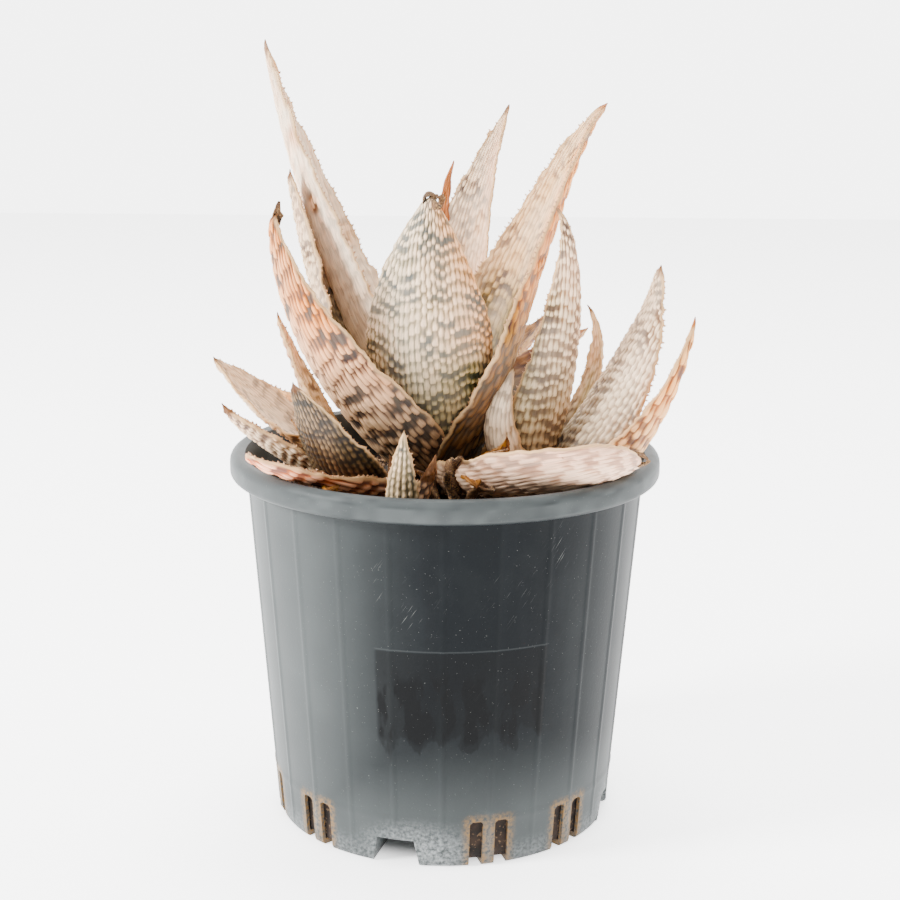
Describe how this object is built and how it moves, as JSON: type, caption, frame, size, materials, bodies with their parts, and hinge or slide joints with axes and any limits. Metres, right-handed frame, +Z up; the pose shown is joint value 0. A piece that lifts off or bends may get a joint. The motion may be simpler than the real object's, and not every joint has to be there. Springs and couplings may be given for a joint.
{
  "type": "potted aloe lateritia",
  "caption": "Clump of spotted succulent rosettes with toothed, channelled leaves, growing in a round tapered nursery pot with drainage slots.",
  "frame": {"origin": "middle of the pot's flat underside, on the pot's own axis", "axes": "+Z up along the pot's axis, -Y towards the front, the side that the picture shows, +X to the right as seen from the front"},
  "size_m": [0.212, 0.21, 0.359],
  "materials": {
    "pot_plastic": "dull slate-grey moulded plastic with dust and scuffs",
    "soil": "dry brown potting soil of bark and peat",
    "stem_bark": "dry woody stem",
    "leaf_green": "grey-green leaf skin with raised cream flecks",
    "leaf_brown": "brown leaf skin with long raised cream flecks",
    "leaf_tan": "tan leaf skin with cream flecks",
    "leaf_pink": "pale pink leaf skin",
    "leaf_pale": "pale grey-cream leaf skin",
    "dry_leaf": "dry brown leaf"
  },
  "bodies": {
    "root": {"pot": "pot_plastic", "soil": "soil", "stem_main": "stem_bark", "stem_right": "stem_bark", "stem_left": "stem_bark", "stem_back": "stem_bark", "stem_front": "stem_bark", "leaf_m_front": "leaf_green", "leaf_m_left": "leaf_brown", "leaf_m_right": "leaf_tan", "leaf_r_front": "leaf_green", "leaf_m_lying": "leaf_pink", "leaf_m_tall": "leaf_pale", "leaf_m_rear": "leaf_tan", "leaf_m_lean": "leaf_pale", "leaf_m_heart": "leaf_tan", "leaf_r_side": "leaf_pale", "leaf_r_out": "leaf_pink", "leaf_l_front": "leaf_brown", "leaf_l_side": "leaf_pale", "leaf_l_low": "leaf_tan", "leaf_m_low": "leaf_pink", "leaf_l_thin": "leaf_pale", "leaf_r_small": "leaf_pale", "leaf_f_tip": "leaf_green", "leaf_f_right": "leaf_green", "leaf_f_back": "leaf_green", "leaf_r_rear": "leaf_tan", "leaf_r_back": "leaf_tan", "leaf_r_low": "leaf_brown", "leaf_m_back": "leaf_green", "leaf_m_back_right": "leaf_brown", "leaf_m_back_left": "leaf_tan", "leaf_l_back": "leaf_tan", "leaf_b_up": "leaf_green", "leaf_b_rear": "leaf_brown", "leaf_b_left": "leaf_pale", "leaf_b_right": "leaf_tan", "leaf_b_low_left": "leaf_pink", "leaf_b_low_right": "leaf_pink", "leaf_dry_front": "dry_leaf", "leaf_dry_right": "dry_leaf", "leaf_dry_left": "dry_leaf"}
  },
  "joints": []
}
